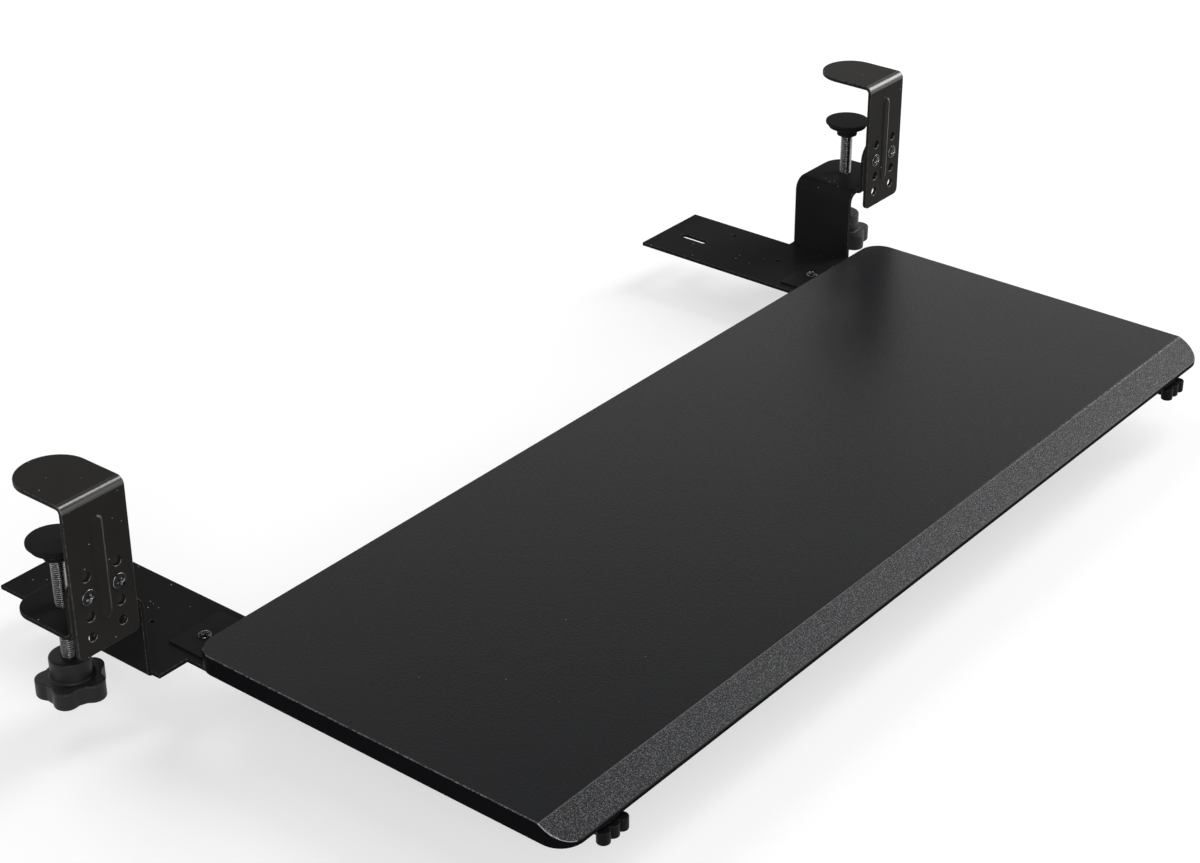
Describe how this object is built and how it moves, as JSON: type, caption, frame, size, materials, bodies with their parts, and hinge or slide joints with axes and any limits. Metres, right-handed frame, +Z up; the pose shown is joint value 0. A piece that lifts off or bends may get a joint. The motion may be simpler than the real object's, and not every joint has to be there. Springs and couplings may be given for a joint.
{
  "type": "sliding keyboard tray",
  "caption": "Wide bevelled tray board on ball slides, hung from folded steel brackets with height-set hooks and star-knob screw clamps that grip a table edge.",
  "frame": {"origin": "midway between the two clamps, in the corner where the hooks' front plates' inner faces meet the tongues' undersides: the upper front corner of the held edge", "axes": "+X to the right along the held edge, +Y back from the edge (the way the tray slides in), +Z up"},
  "size_m": [0.75, 0.4039, 0.1298],
  "materials": {
    "tray_laminate": "black textured laminate on board, satin",
    "coated_steel": "black powder coat, satin",
    "screw_steel": "black zinc plate, satin",
    "bright_steel": "zinc-plated steel",
    "rail_steel": "black electro-coat, satin",
    "moulded_plastic": "black moulded plastic, matt",
    "pad_rubber": "black rubber, matt"
  },
  "bodies": {
    "brackets": {"left_bracket": "coated_steel", "right_bracket": "coated_steel", "left_clamp_hook": "coated_steel", "right_clamp_hook": "coated_steel", "left_hook_screws": "screw_steel", "right_hook_screws": "screw_steel", "left_hook_nuts": "screw_steel", "right_hook_nuts": "screw_steel", "left_clamp_nut": "screw_steel", "right_clamp_nut": "screw_steel", "left_fixed_rail": "rail_steel", "right_fixed_rail": "rail_steel", "left_rail_screws": "screw_steel", "right_rail_screws": "screw_steel"},
    "tray": {"tray_board": "tray_laminate", "left_moving_rail": "rail_steel", "right_moving_rail": "rail_steel", "left_front_stop": "moulded_plastic", "right_front_stop": "moulded_plastic", "left_rear_stop": "moulded_plastic", "right_rear_stop": "moulded_plastic", "left_tray_screws": "screw_steel", "right_tray_screws": "screw_steel"},
    "left_cage": {"left_ball_cages": "bright_steel", "left_balls": "bright_steel"},
    "right_cage": {"right_ball_cages": "bright_steel", "right_balls": "bright_steel"},
    "left_pad": {"left_pressure_plate": "coated_steel", "left_pad_face": "pad_rubber"},
    "right_pad": {"right_pressure_plate": "coated_steel", "right_pad_face": "pad_rubber"},
    "left_screw": {"left_clamp_screw": "bright_steel", "left_clamp_knob": "moulded_plastic"},
    "right_screw": {"right_clamp_screw": "bright_steel", "right_clamp_knob": "moulded_plastic"}
  },
  "joints": [
    {"name": "tray_slide", "type": "slide", "parent": "brackets", "child": "tray", "axis": [0, 1, 0], "range_m": [0, 0.13]},
    {"name": "left_cage_slide", "type": "slide", "parent": "brackets", "child": "left_cage", "axis": [0, 1, 0], "range_m": [0, 0.065]},
    {"name": "right_cage_slide", "type": "slide", "parent": "brackets", "child": "right_cage", "axis": [0, 1, 0], "range_m": [0, 0.065]},
    {"name": "left_pad_lift", "type": "slide", "parent": "brackets", "child": "left_pad", "axis": [0, 0, 1], "range_m": [-0.027, 0.0215]},
    {"name": "left_screw_turn", "type": "hinge", "parent": "left_pad", "child": "left_screw", "pos_m": [-0.3555, 0.0295, -0.0755], "axis": [0, 0, 1], "range_deg": [-7777, 6193]},
    {"name": "right_pad_lift", "type": "slide", "parent": "brackets", "child": "right_pad", "axis": [0, 0, 1], "range_m": [-0.027, 0.0215]},
    {"name": "right_screw_turn", "type": "hinge", "parent": "right_pad", "child": "right_screw", "pos_m": [0.3555, 0.0295, -0.0755], "axis": [0, 0, 1], "range_deg": [-7777, 6193]}
  ],
  "couplings": [
    {"joint": "left_cage_slide", "follows": "tray_slide", "ratio": 0.5},
    {"joint": "right_cage_slide", "follows": "tray_slide", "ratio": 0.5},
    {"joint": "left_screw_turn", "follows": "left_pad_lift", "rad_per_m": 5026.5},
    {"joint": "right_screw_turn", "follows": "right_pad_lift", "rad_per_m": 5026.5}
  ]
}
